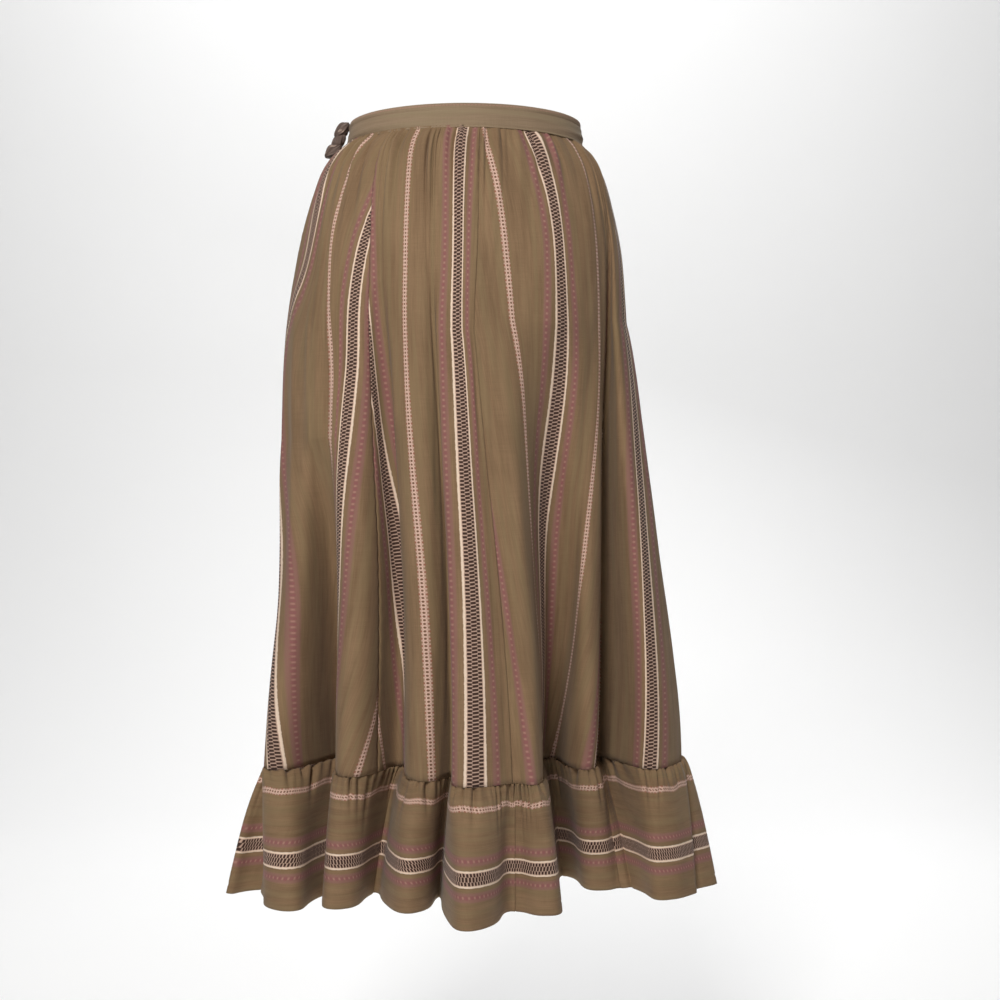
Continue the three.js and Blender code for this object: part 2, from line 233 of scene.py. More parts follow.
# For each gore: first and last step, width of its cut at the waist and at the ruffle, and its stripes
GORES = {
    "gore_front_left": (2.5, 9.5, 132, 320, [
        (-198, 1.4, 2.4, 2.2, 2.4, 2.8), (-132, 4.5, 4.9, 2.9, 3.3, 4.6), (-115, 5.4, 5.5, 3.5, 4.6, 5.2),
        (-66, 7.9, 7.25, 7.9, 7.4, 6.3), (-17, 11.2, 8.45, 8.15, 7.7, 7.0), (0, 11.9, 9.15, 8.55, 7.95, 7.3),
        (17, 13.0, 10.0, 9.3, 8.45, 7.7), (66, 15.5, 13.2, 11.8, 10.8, 8.85),
        (132, 19.0, 17.5, 15.6, 13.6, 10.7)]),
    "gore_front_centre": (9.5, 18.5, 138, 260, [
        (-264, 2.0, 3.6, 5.3, 6.9, 8.4), (-198, 5.5, 6.6, 7.7, 8.6, 9.75),
        (-132, 8.0, 8.8, 9.65, 10.45, 11.25), (-115, 9.3, 9.75, 10.4, 11.05, 11.7),
        (-66, 12.3, 12.2, 12.2, 12.5, 12.95),
        (-17, 16.1, 16.2, 16.15, 16.1, 16.0), (0, 17.0, 16.9, 16.9, 16.85, 16.8),
        (17, 17.9, 17.5, 17.55, 17.45, 17.6), (66, 20.6, 20.0, 19.7, 19.6, 19.5)]),
    "gore_front_right": (18.5, 26.5, 175, 340, [
        (-132, 14.0, 15.0, 16.2, 17.1, 17.6), (-124, 14.4, 15.4, 16.6, 17.6, 18.4),
        (-120, 14.7, 15.7, 16.8, 18.1, 19.75), (-110, 15.4, 16.4, 17.5, 18.9, 20.5),
        (-66, 19.0, 20.5, 21.2, 21.25, 21.5), (-17, 21.3, 21.9, 21.95, 21.4, 21.7),
        (0, 21.6, 22.5, 22.85, 22.0, 21.9), (17, 22.7, 23.1, 23.55, 22.85, 22.2),
        (66, 24.1, 24.4, 24.8, 24.2, 22.75), (115, 26.3, 26.6, 26.3, 25.6, 24.5),
        (132, 27.0, 27.3, 26.8, 26.1, 25.0), (198, 31.0, 30.5, 29.3, 28.0, 26.4)]),
    "gore_side_right": (26.5, 38.5, 160, 360, [
        (-132, 22.8, 23.5, 24.0, 24.5, 25.1), (-66, 25.8, 26.0, 26.1, 26.2, 26.3),
        (-17, 29.0, 28.8, 28.6, 28.25, 27.9), (0, 29.8, 29.5, 29.25, 28.75, 28.3),
        (17, 30.5, 30.15, 29.9, 29.45, 28.9), (66, 34.0, 32.8, 32.0, 31.5, 31.6),
        (132, 39.5, 36.2, 34.3, 33.5, 33.6), (330, 55.0, 46.3, 42.0, 40.1, 39.2)]),
    "gore_back_right": (38.5, 46.5, 140, 260, [
        (-132, 35.0, 36.6, 37.4, 38.0, 38.4), (132, 50.0, 48.4, 47.6, 47.0, 46.6)]),
    "gore_back_left": (46.5, 54.5, 140, 260, [
        (-66, 43.0, 44.6, 45.4, 46.0, 46.4), (198, 58.0, 56.4, 55.6, 55.0, 54.6)]),
    "gore_side_left": (54.5, 62.5, 110, 220, [
        (-264, 46.0, 48.0, 49.6, 51.3, 53.0), (-132, 50.0, 52.0, 54.4, 57.1, 60.0),
        (0, 53.5, 56.0, 59.0, 62.3, 66.5), (66, 56.0, 58.7, 61.5, 65.1, 70.0),
        (132, 59.5, 61.9, 64.8, 68.4, 73.0)]),
}
COLUMNS_PER_STEP = 12
GORE_ROWS = 150
print("gores:", len(GORES), "stripe rows:", sum(len(row[4]) for row in GORES.values()))


# %% [markdown]
# ## Gathers and creases
# Thread draws the top of each gore together, so fine ridges stand under the waistband and die out over a
# hand's breadth. Below them a few long creases run down the cloth, and soft cotton is never quite even. These
# forms could be sculpted or simulated. Here each is a height above the section, worked out from the step and
# the drop, so it costs little, gives the same result each time and follows the folds that carry it.

# %% Small forms of the cloth
def wave(phase):
    """A gather's section: broad ridges with narrow creases, 1 on the ridge and -1 in the crease."""
    return 1 - 2 * (0.5 - 0.5 * np.cos(phase)) ** 1.6


def waist_gathers(step, drop):
    """Height of the gathers under the band: one wave a step, two finer ones and narrow nips, each wandering
    a little in pace, which swell below the seam and fade over uneven lengths."""
    pace = step + 0.16 * np.sin(1.7 * step) + 0.10 * np.sin(4.1 * step + 1.0)
    reach = 44 * (1 + 0.45 * np.sin(1.9 * step) + 0.3 * np.sin(0.73 * step + 2.0))
    swell = (0.45 + 0.55 * smooth(drop / 14)) * np.exp(-(drop / reach) ** 2 / 2)
    fine = (0.7 + 0.3 * smooth(drop / 6)) * np.exp(-(drop / (22 * (1.2 + np.sin(2.7 * step)) + 7)) ** 2 / 2)
    strong = 0.75 + 0.35 * np.sin(2.3 * step + 0.6)
    nip = (0.5 - 0.5 * np.cos(2 * np.pi * (1.37 * step + 0.3 * np.sin(3.7 * step)))) ** 5
    nip = nip * np.exp(-(drop / (20 * (1.3 + np.sin(5.3 * step)) + 3)) ** 2 / 2)
    return (2.7 * strong * swell * wave(2 * np.pi * pace)
            + 0.85 * fine * np.cos(4 * np.pi * pace + 1.1 * np.sin(3.1 * step))
            + 0.5 * fine * np.cos(6.2 * np.pi * pace + 0.7) - 2.6 * strong * nip)


# Long soft creases, ridges above 0 and troughs below it: step, top drop and bottom drop,
# height, breadth in steps, and how many steps it drifts on its way down
CREASES = np.array([
    (4, 110, 540, -2.5, 0.25, 0.3), (4.5, 110, 540, 2.2, 0.15, 0.3), (5.3, 70, 420, -1.4, 0.35, -0.4),
    (7.6, 160, 680, -6, 0.5, -1.1), (8.8, 200, 640, 1.3, 0.45, 0.2), (10.2, 40, 620, -7.5, 0.55, 1),
    (11.3, 60, 620, 3, 0.4, 0.3), (12.6, 240, 640, 1.8, 0.4, 0.2), (13.8, 100, 540, 1.8, 0.4, 0),
    (15, 150, 640, -4, 0.4, 0.5), (15.9, 60, 380, -1.6, 0.3, 0.3), (16.8, 280, 640, 1.5, 0.4, -0.2),
    (17.6, 50, 260, 1.2, 0.3, 0.3), (19.4, 80, 430, -1.4, 0.3, 0.4), (20.6, 180, 600, 1.4, 0.35, 0.2),
    (22.8, 60, 330, -1.8, 0.4, 0.6), (23.9, 150, 560, 1.5, 0.45, -0.3), (24.6, 150, 720, -6.5, 0.42, -2.1),
    (24.9, 60, 300, -1.2, 0.3, 0.3), (27.8, 120, 520, 1.3, 0.4, 0.3), (29.2, 60, 380, -1.5, 0.35, 0.3),
    (31.7, 90, 500, 1.6, 0.45, -0.4), (34.3, 60, 420, -1.8, 0.4, 0.4), (36.6, 130, 600, 1.5, 0.45, 0.3),
    (38.3, 60, 330, -1.4, 0.3, -0.2), (40.7, 100, 540, 1.7, 0.4, 0.4), (42.9, 60, 300, -1.3, 0.3, 0.2),
    (44.4, 160, 620, 1.5, 0.45, -0.3), (46.9, 70, 420, -1.7, 0.35, 0.3), (48.8, 110, 580, 1.6, 0.4, -0.2),
    (51.2, 60, 360, -1.4, 0.3, 0.4), (52.8, 140, 560, 1.5, 0.45, 0.2), (55.5, 60, 400, -1.6, 0.35, -0.3),
    (57.3, 120, 600, 1.6, 0.4, 0.3), (59.6, 70, 380, -1.5, 0.35, 0.3), (61, 150, 520, 1.4, 0.4, -0.2)])


def long_creases(step, drop):
    """Sum of the creases: a bell across the cloth times a level rise and fall along it."""
    total = np.zeros(np.broadcast(step, drop).shape)
    for place, top, bottom, height, breadth, drift in CREASES:
        along = np.clip((drop - top) / (bottom - top), 0, 1)
        across = (step - place - drift * along + STEPS / 2) % STEPS - STEPS / 2
        total = total + height * np.sin(np.pi * along) ** 1.3 * np.exp(-(across / breadth) ** 2)
    return total


def slack(step, drop):
    """Slight unevenness of soft cloth, longer down than across it: a few sines that don't repeat."""
    return (0.45 * np.sin(2.9 * step + 0.011 * drop + 0.6 * np.sin(0.017 * drop))
            + 0.30 * np.sin(5.3 * step - 0.019 * drop + 1.7)
            + 0.18 * np.sin(9.1 * step + 0.041 * drop + 0.9 * np.sin(0.9 * step)))


def seam_pucker(step, drop, seams):
    """A sewn seam: a narrow trough along it, drawn into small ripples by the thread."""
    away = np.min([np.abs((step - seam + STEPS / 2) % STEPS - STEPS / 2) for seam in seams], axis=0)
    ripple = 0.45 * np.sin(2 * np.pi * drop / 17 + 1.3 * np.sin(drop / 31)) * np.exp(-(away / 0.25) ** 2)
    return ripple - 0.9 * np.exp(-(away / 0.055) ** 2)


SEAM_STEPS = [row[0] for row in GORES.values()]
print("long creases:", len(CREASES), "seams:", len(SEAM_STEPS))


# %% [markdown]
# ## From points to cloth
# Cloth is a sheet with a little thickness. Building both faces point by point would double the work, so each
# piece starts as one grid of points, which becomes a mesh of quads in a few whole-array calls. A Solidify
# modifier then gives it its thickness and closes its edges. The place of every point on the flat cloth goes
# into a UV map, where the materials find it.

# %% Meshes from surfaces
CLOTH_THICKNESS = 0.8


def normals_of(points):
    """Unit normals of a grid of points, facing out: the cross product of its two directions."""
    down, along = np.gradient(points, axis=0), np.gradient(points, axis=1)
    normal = np.cross(down, along)
    return normal / np.maximum(np.linalg.norm(normal, axis=-1, keepdims=True), 1e-12)


def grid_mesh(name, points, cloth=None, loop=False):
    """A mesh from rows by columns of points in millimetres. Quads join neighbours; with loop, the last
    column joins the first. The cloth's own coordinates, in metres, go in its UV map."""
    rows, columns = points.shape[:2]
    index = np.arange(rows * columns).reshape(rows, columns)
    right = np.roll(index, -1, axis=1) if loop else index[:, 1:]
    left = index if loop else index[:, :-1]
    quads = np.stack([left[:-1], left[1:], right[1:], right[:-1]], axis=-1).reshape(-1, 4)
    mesh = bpy.data.meshes.new(name)
    mesh.vertices.add(rows * columns)
    mesh.vertices.foreach_set("co", (points.reshape(-1, 3) * MM).astype(np.float32).ravel())
    mesh.loops.add(quads.size)
    mesh.loops.foreach_set("vertex_index", quads.astype(np.int32).ravel())
    mesh.polygons.add(len(quads))
    mesh.polygons.foreach_set("loop_start", np.arange(0, quads.size, 4, dtype=np.int32))
    mesh.polygons.foreach_set("use_smooth", np.ones(len(quads), dtype=bool))
    mesh.update(calc_edges=True)
    if cloth is not None:
        uv = mesh.uv_layers.new(name="Cloth")
        uv.data.foreach_set("uv", (cloth.reshape(-1, 2)[quads.ravel()] * MM).astype(np.float32).ravel())
    mesh.validate()
    piece = bpy.data.objects.new(name, mesh)
    bpy.context.scene.collection.objects.link(piece)
    return piece


def thicken(piece):
    """Gives a surface the thickness of its cloth, half on each side of it, with closed edges."""
    wall = piece.modifiers.new("thickness", "SOLIDIFY")
    wall.thickness = CLOTH_THICKNESS * MM
    wall.offset = 0.0
    wall.use_even_offset = False


# %% Where a gore's pattern lies
STEPS_BEYOND = 14    # the section is measured this far past each seam, because stripes start and end there


def lengths_along(points):
    """Distance along each row of points from its first one."""
    parts = np.linalg.norm(np.diff(points, axis=1), axis=-1)
    return np.concatenate([np.zeros((len(points), 1)), np.cumsum(parts, axis=1)], axis=1)


def stripe_steps(steps_at_drops, drop):
    """The step where a stripe lies at any drop: the smooth curve through its five places."""
    return curve_through(STRIPE_DROPS, np.array(steps_at_drops)[:, None], drop)[:, 0]


def cloth_places(first, last, heights, stripes):
    """Places on the cloth across and down. Across: the first stripe's place plus, for each gap between two
    stripes, the gap's width times the share of it that is passed. Down: the mean distance down the cloth."""
    wide = np.arange((last - first + 2 * STEPS_BEYOND) * COLUMNS_PER_STEP + 1) / COLUMNS_PER_STEP
    wide = wide + first - STEPS_BEYOND
    points = section_points(wide, heights)
    arc = lengths_along(points)
    rows = np.arange(len(heights))
    drop = WAIST_SEAM - heights
    knots = []
    for _, *steps_at_drops in stripes:
        column = (stripe_steps(steps_at_drops, drop) - wide[0]) * COLUMNS_PER_STEP
        whole = np.clip(column.astype(int), 0, len(wide) - 2)
        knots.append(arc[rows, whole] + (column - whole) * (arc[rows, whole + 1] - arc[rows, whole]))
    across = np.full(arc.shape, float(stripes[0][0]))
    for k, (before, after) in enumerate(zip(stripes[:-1], stripes[1:])):
        gap = np.maximum(knots[k + 1] - knots[k], 1.0)[:, None]
        across = across + (after[0] - before[0]) * np.clip((arc - knots[k][:, None]) / gap, 0, 1)
    inside = slice(STEPS_BEYOND * COLUMNS_PER_STEP, len(wide) - STEPS_BEYOND * COLUMNS_PER_STEP)
    down = np.linalg.norm(np.diff(points[:, inside], axis=0), axis=-1).mean(axis=1)
    down = np.concatenate([[0], np.cumsum(down)])[:, None]
    across = across[:, inside]
    return np.stack([across, np.broadcast_to(down, across.shape)], axis=-1)


TUCKED = 2.5


def gore_heights():
    """Heights of the rows, closer together under the waistband where the gathers are. The first few rows
    are tucked up inside the band."""
    t = np.linspace(0, 1, GORE_ROWS)
    return WAIST_SEAM + TUCKED - (FULL_DROP + TUCKED - 0.1) * (0.45 * t + 0.55 * t ** 2)


# %% Build the gores
BAND_FOOT_STANDS_OUT = 1.5

gores = []
for name, (first, last, waist_width, seam_width, stripes) in GORES.items():
    steps = np.linspace(first, last, int((last - first) * COLUMNS_PER_STEP) + 1)
    heights = gore_heights()
    base = section_points(steps, heights)
    drop = np.maximum(WAIST_SEAM - heights, 0)[:, None]
    step = steps[None, :]
    lift = waist_gathers(step, drop) + long_creases(step, drop) + slack(step, drop) * smooth(drop / 60)
    lift = lift + seam_pucker(step, drop, SEAM_STEPS)
    under_band = smooth((WAIST_SEAM + TUCKED - heights) / (TUCKED + 5))[:, None]
    lift = lift * (0.12 + 0.88 * under_band) + BAND_FOOT_STANDS_OUT * (1 - smooth(drop / 16))
    points = base + normals_of(base) * lift[..., None]
    places = cloth_places(first, last, heights, stripes)
    gore = grid_mesh(name + "_cloth", points, places)
    thicken(gore)
    gores.append((gore, name, waist_width, seam_width))
    print(name, "points:", points.shape[0] * points.shape[1])


# %% [markdown]
# ## The ruffle
# The ruffle is the same cloth turned on its side, about a third longer than the edge it is sewn to. The
# extra length shows as pinches just below the seam, which open into soft flutes at the hem. A plain sine
# would look like a pie crust, so every wave has its own pace, strength and reach, each a slow sine of the
# step. The places on the cloth are swapped: across the stripes is now down the ruffle.

# %% Ruffle lengths
# For each length: first and last step, and how far its cut starts along the cloth
RUFFLES = {
    "ruffle_front_left": (54.0, 78.75, 3),
    "ruffle_front_right": (18.75, 25.5, 38),
    "ruffle_side_right": (25.5, 39.75, 71),
    "ruffle_back": (39.75, 54.0, 15),
}
RUFFLE_FULLNESS = 1.32
RUFFLE_COLUMNS_PER_STEP = 24
RUFFLE_ROWS = 56
RUFFLE_DEPTH = RUFFLE_SEAM - HEM
WIDE_STRIPE_DOWN = 88.5
RUFFLE_GATHERS_PER_STEP = 2.6
HEM_STITCH = 9.0


def ruffle_form(step, below):
    """Height of the ruffle's own waves: narrow pinches that start at the seam and fade over uneven lengths,
    low puffs between them, slow flutes that grow towards the hem, and a stitched fold above its edge."""
    lean = 0.009 * below * np.sin(2.9 * step + 0.4)
    pace = RUFFLE_GATHERS_PER_STEP * step + 0.28 * np.sin(2.2 * step) + 0.2 * np.sin(5.1 * step + 0.4) + lean
    reach = 15 * (1 + 0.45 * np.sin(2.3 * step) + 0.4 * np.sin(6.9 * step + 1))
    strong = 0.8 + 0.35 * np.sin(3.3 * step + 0.6) + 0.3 * np.sin(7.7 * step)
    pinch = strong * (0.5 - 0.5 * np.cos(2 * np.pi * pace)) ** 2.6 * np.exp(-(below / reach) ** 2 / 2)
    tuck = np.cos(3.4 * np.pi * pace + 2 * np.sin(3.7 * step)) * np.exp(-(below / 11) ** 2 / 2)
    puff = smooth(below / 16) * np.exp(-(below / 30) ** 2 / 2) * (1 + 0.5 * np.sin(4.4 * step + 1))
    flute = smooth(below / 70) * (1.6 * np.sin(2 * np.pi * 0.42 * step + 1.2 * np.sin(0.8 * step))
                                  + 0.8 * np.sin(2 * np.pi * 0.97 * step + 0.8))
    fold = -0.5 * np.exp(-((RUFFLE_DEPTH - HEM_STITCH - below) / 1.1) ** 2)
    return (1.3 - 5.2 * pinch + 1.1 * tuck + 0.8 * puff + flute + fold
            - 1.0 * np.exp(-(below / 1.4) ** 2))


def drawn_up(step, below):
    """How far the gathers draw the cloth up or let it down, which makes its upper stripe waver."""
    return (1.3 * np.sin(4.7 * step) + 0.9 * np.sin(8.3 * step + 2)) * np.exp(-(below / 32) ** 2)


def ruffle_join(step, seams):
    """A trough along each join between two lengths of the ruffle."""
    away = np.min([np.abs((step - seam + STEPS / 2) % STEPS - STEPS / 2) for seam in seams], axis=0)
    return -1.0 * np.exp(-(away / 0.05) ** 2)


# %% Build the ruffle
JOINS = [row[0] for row in RUFFLES.values()]
ruffles = []
for name, (first, last, phase) in RUFFLES.items():
    steps = np.linspace(first, last, int((last - first) * RUFFLE_COLUMNS_PER_STEP) + 1)
    heights = RUFFLE_SEAM - 0.1 - (RUFFLE_DEPTH - 0.1) * np.linspace(0, 1, RUFFLE_ROWS) ** 1.25
    base = section_points(steps, heights)
    below = (RUFFLE_SEAM - heights)[:, None]
    lift = ruffle_form(steps[None, :], below) + ruffle_join(steps[None, :], JOINS)
    points = base + normals_of(base) * lift[..., None]
    arc = lengths_along(base)
    length = arc[0, -1] * RUFFLE_FULLNESS
    along = arc / arc[:, -1:] * length + phase
    down = np.linalg.norm(np.diff(base, axis=0), axis=-1).mean(axis=1)
    down = np.concatenate([[0], np.cumsum(down)])[:, None] - WIDE_STRIPE_DOWN
    down = down + drawn_up(steps[None, :], below)
    places = np.stack([down, along], axis=-1)
    ruffle = grid_mesh(name + "_cloth", points, places)
    thicken(ruffle)
    ruffles.append((ruffle, name, length))
    print(name, "cut length in mm:", round(float(length)))

# %% [markdown]
# ## The waistband
# The band is one strip folded along its top edge, so its section is a flat loop with round ends. Two flat
# sheets would show an open top, and a box would have hard edges. The loop is carried round the waist instead,
# in two lengths. It is soft: lengthwise wrinkles run along it, and its folded edge stands a little apart from
# the rest below the top.

# %% Waistband
BAND_HALF = (120.6, 117.4)
BAND_DEPTH = (96.6, 94.2)
BAND_THICKNESS = 2.4
BAND_MEAN_RADIUS = 108.0
BAND_CLOSURE_DEGREES = -94
BAND_SIDE_DEGREES = 86
BANDS = {
    "waistband_front": (BAND_CLOSURE_DEGREES, BAND_SIDE_DEGREES),
    "waistband_back": (BAND_SIDE_DEGREES, BAND_CLOSURE_DEGREES + 360),
}
BAND_COLUMNS = 320
BAND_PROFILE_POINTS = 88


def rounded(wave_value, power):
    """A wave held flat near its ends: its sign times its size to a small power."""
    return np.sign(wave_value) * np.abs(wave_value) ** power


def band_profile(turn, along):
    """The band's section as height and depth: a flat loop. The height follows a cosine pushed towards its
    ends, the depth a sine held flat, and the outer face carries wrinkles that wander as they run along."""
    height = (BAND_TOP - 0.4) * rounded(np.cos(turn), 0.8)
    out = rounded(np.sin(turn), 0.35)
    wrinkle = (0.42 * np.sin(height / 2.3 + 1.4 * np.sin(along / 61) + along / 95)
               + 0.30 * np.sin(height / 1.3 - along / 140 + 1.1 * np.sin(along / 37))
               + 0.36 * np.sin(along / 23 + 0.8 * np.sin(along / 11) + height / 9))
    fold = -0.8 * np.exp(-((height - 6.4 - 0.5 * np.sin(along / 70)) / 0.55) ** 2)
    fold = fold - 0.35 * np.exp(-((height + 10.2) / 0.6) ** 2)
    depth = out * BAND_THICKNESS / 2 + (wrinkle + fold) * (out > 0) * np.abs(out)
    return np.broadcast_arrays(height, depth)


bands = []
for name, (start, end) in BANDS.items():
    angle = np.radians(np.linspace(start + 0.05, end - 0.05, BAND_COLUMNS))[:, None]
    turn = -np.linspace(0, 2 * np.pi, BAND_PROFILE_POINTS, endpoint=False)[None, :]
    along = angle * BAND_MEAN_RADIUS
    height, depth = band_profile(turn, along)
    share = (height + BAND_TOP) / (2 * BAND_TOP)
    half = BAND_HALF[0] + (BAND_HALF[1] - BAND_HALF[0]) * share
    front = BAND_DEPTH[0] + (BAND_DEPTH[1] - BAND_DEPTH[0]) * share
    middle = np.stack([half * np.sin(angle), -front * np.cos(angle), height], axis=-1)
    outward = np.stack([front * np.sin(angle), -half * np.cos(angle), 0 * half], axis=-1)
    outward = outward / np.linalg.norm(outward, axis=-1, keepdims=True)
    points = middle + outward * depth[..., None]
    places = np.stack(np.broadcast_arrays(height, along), axis=-1)
    band = grid_mesh(name + "_cloth", points, places, loop=True)
    bands.append((band, name))
    print(name, "points:", points.shape[0] * points.shape[1])


# %% [markdown]
# ## The side tie
# At the left end of the band the skirt closes with a small knotted tie of its own cloth, coloured darker and
# greyer than the skirt with painted shade. Each of its three lumps is a globe drawn out to its own sizes, with
# pleats that run from pole to pole and a slight twist, so that it looks like gathered cloth pulled tight. A
# real knot of thin cloth, modelled turn by turn, would look no different at this size.

# %% Tie
# For each lump: its centre, its half sizes, how many pleats it has and how far they twist
TIE = {
    "tie_upper_end": ((-127.0, 8, 9.6), (6.8, 9.0, 7.6), 5, 0.9),
    "tie_knot": ((-130.6, 8, -1.6), (6.4, 8.0, 6.4), 4, -1.3),
    "tie_lower_end": ((-136.2, 8, -12.2), (7.8, 9.0, 6.8), 6, 1.6),
}
TIE_LEAN = 0.42
POLE_MERGE = 0.02


def tie_lump(centre, radii, pleats, twist):
    """A globe squared off towards a box: powers of the sines and cosines below 1 fill out its corners. It
    leans outwards as it goes down, and pleats lower it by a wave in the angle round, turning with height."""
    up = np.linspace(-np.pi / 2, np.pi / 2, 48)[:, None]
    turn = np.linspace(0, 2 * np.pi, 140, endpoint=False)[None, :]
    phase = pleats * turn + twist * up * 2 + 0.7 * np.sin(2 * turn + pleats)
    pleat = 1 - 0.13 * (0.5 - 0.5 * np.cos(phase)) ** 2 - 0.04 * np.sin(2.3 * phase + up * 3)
    ring = np.cos(up) ** 0.45 * pleat
    high = -rounded(np.sin(up), 0.7) * radii[2] + 0 * ring
    across = ring * rounded(np.cos(turn), 0.7) * radii[0] + TIE_LEAN * high
    return np.stack([across + centre[0], ring * rounded(np.sin(turn), 0.7) * radii[1] + centre[1],
                     high + centre[2]], axis=-1)


ties = []
for name, (centre, radii, pleats, twist) in TIE.items():
    tie = grid_mesh(name + "_cloth", tie_lump(centre, radii, pleats, twist)[:, ::-1], loop=True)
    weld = tie.modifiers.new("close the poles", "WELD")
    weld.merge_threshold = POLE_MERGE * MM
    ties.append((tie, name))
print("tie pieces:", len(ties))

# %% [markdown]
# ## Shader helpers
# The pattern is worked out with Math nodes from the cloth's own coordinates, in millimetres. An image would
# blur when seen close up, and sums stay sharp at any distance. These few helpers keep them readable: each
# adds a node or two, joins what it is given and returns the new output.

# %% Shader helpers
def feed(tree, socket, value):
    """Joins a socket to an output, or sets it to a number or colour."""
    if isinstance(value, bpy.types.NodeSocket):
        tree.links.new(value, socket)
    else:
        socket.default_value = value


def calc(tree, operation, *values):
    """One Math node."""
    node = tree.nodes.new("ShaderNodeMath")
    node.operation = operation
    for socket, value in zip(node.inputs, values):
        feed(tree, socket, value)
    return node.outputs[0]


def between(tree, value, low, high):
    """0 below low, 1 above high and a smooth rise between them. With low above high it falls instead."""
    node = tree.nodes.new("ShaderNodeMapRange")
    node.interpolation_type = "SMOOTHSTEP"
    given_values = {"Value": value, "From Min": low, "From Max": high, "To Min": 0.0, "To Max": 1.0}
    for name, number in given_values.items():
        feed(tree, node.inputs[name], number)
    return node.outputs["Result"]


def paint(tree, share, under, over):
    """Lays one colour over another by a share."""
    node = tree.nodes.new("ShaderNodeMix")
    node.data_type = "RGBA"
    feed(tree, node.inputs["Factor"], share)
    feed(tree, node.inputs["A"], under)
    feed(tree, node.inputs["B"], over)
    return node.outputs["Result"]


def place(tree, across, down, across_scale, down_scale, shift=0.0):
    """A point of the cloth, scaled apart across and down, as a vector."""
    node = tree.nodes.new("ShaderNodeCombineXYZ")
    feed(tree, node.inputs["X"], calc(tree, "MULTIPLY", across, across_scale))
    feed(tree, node.inputs["Y"], calc(tree, "MULTIPLY", down, down_scale))
    feed(tree, node.inputs["Z"], shift)
    return node.outputs["Vector"]


def noise(tree, vector, detail=2.0, roughness=0.5):
    """Noise about 0.5 at a vector."""
    node = tree.nodes.new("ShaderNodeTexNoise")
    feed(tree, node.inputs["Vector"], vector)
    feed(tree, node.inputs["Scale"], 1.0)
    feed(tree, node.inputs["Detail"], detail)
    feed(tree, node.inputs["Roughness"], roughness)
    return node.outputs["Fac"]


def new_group(name, inputs, outputs):
    """A shader node group with named sockets, and its input and output nodes."""
    tree = bpy.data.node_groups.new(name, "ShaderNodeTree")
    for kind, sockets in (("INPUT", inputs), ("OUTPUT", outputs)):
        for socket, socket_type in sockets:
            tree.interface.new_socket(name=socket, in_out=kind, socket_type=socket_type)
    return tree, tree.nodes.new("NodeGroupInput").outputs, tree.nodes.new("NodeGroupOutput").inputs


def use_group(tree, group, **values):
    """Places a group in a material with its own values, and returns its outputs."""
    node = tree.nodes.new("ShaderNodeGroup")
    node.node_tree = group
    for name, value in values.items():
        feed(tree, node.inputs[name], value)
    return node.outputs


def srgb(red, green, blue):
    """A colour given as 0 to 255 values, made linear."""
    share = np.array([red, green, blue]) / 255
    linear = np.where(share <= 0.04045, share / 12.92, ((share + 0.055) / 1.055) ** 2.4)
    return (*linear.tolist(), 1.0)


FLOAT, COLOUR = "NodeSocketFloat", "NodeSocketColor"

# %% [markdown]
# ## Threads
# The cotton is spun unevenly. Thicker stretches of the lengthwise threads show as fine streaks, lighter and
# darker than the rest, and the crosswise threads do the same more faintly. A regular weave would shimmer at
# this distance, so noise stretched along each thread gives both, and very fine noise the grain. All three
# materials need it, so it is a group.

# %% Thread group
threads, given, made = new_group("uneven threads", [("Across", FLOAT), ("Down", FLOAT)],
                                 [("Streaks", FLOAT), ("Olive", FLOAT), ("Height", FLOAT)])
across, down = given["Across"], given["Down"]
fine_lengthwise = noise(threads, place(threads, across, down, 1.3, 0.03), 3.0, 0.6)
broad_lengthwise = noise(threads, place(threads, across, down, 0.16, 0.008, 7.0), 2.0)
crosswise = noise(threads, place(threads, across, down, 0.05, 1.7, 3.0), 2.0)
cloudy = noise(threads, place(threads, across, down, 0.03, 0.012, 5.0), 2.0)
olive_bands = noise(threads, place(threads, across, down, 0.14, 0.005, 9.0), 2.0)
grain = noise(threads, place(threads, across, down, 2.6, 2.6, 11.0), 2.0)
streaks = calc(threads, "MULTIPLY", broad_lengthwise, 0.26)
streaks = calc(threads, "MULTIPLY_ADD", fine_lengthwise, 0.34, streaks)
streaks = calc(threads, "MULTIPLY_ADD", crosswise, 0.16, streaks)
streaks = calc(threads, "MULTIPLY_ADD", cloudy, 0.24, streaks)
height = calc(threads, "MULTIPLY_ADD", fine_lengthwise, 0.5, calc(threads, "MULTIPLY", crosswise, 0.35))
height = calc(threads, "MULTIPLY_ADD", grain, 0.5, height)
feed(threads, made["Streaks"], between(threads, streaks, 0.28, 0.72))
feed(threads, made["Olive"], between(threads, olive_bands, 0.42, 0.62))
feed(threads, made["Height"], height)
print("thread group nodes:", len(threads.nodes))

# %% [markdown]
# ## The woven stripes
# Three stripes share a repeat of 132 mm. The wide one has two cream edges and, between them, three columns
# of dark dashes on a pale ground. On each side of it runs a faint mauve band of rose marks, and halfway to
# the next comes a narrow chain of cream rings with dark centres and red specks. Every mark is a mask made
# from the distance to its own centre, which comes from wrapping the coordinates into one repeat. The stripes
# are then laid over each other like threads, from the ground up.

# %% Stripe sizes in millimetres
REPEAT = 132.0
WIDE_HALF = 8.0
EDGE_LINE_HALF = 0.85
DASH_PITCH = 3.6
CENTRE_DASH_HALF = (2.35, 1.25)
SIDE_DASH_HALF = (1.65, 1.2)
SIDE_DASH_OFFSET = 4.1
MAUVE_OFFSET = 17.0
MAUVE_HALF = 4.4
ROSE_PITCH = 6.0
ROSE_HALF = (1.9, 1.7)
CHAIN_HALF = 3.5
CHAIN_PITCH = 3.6

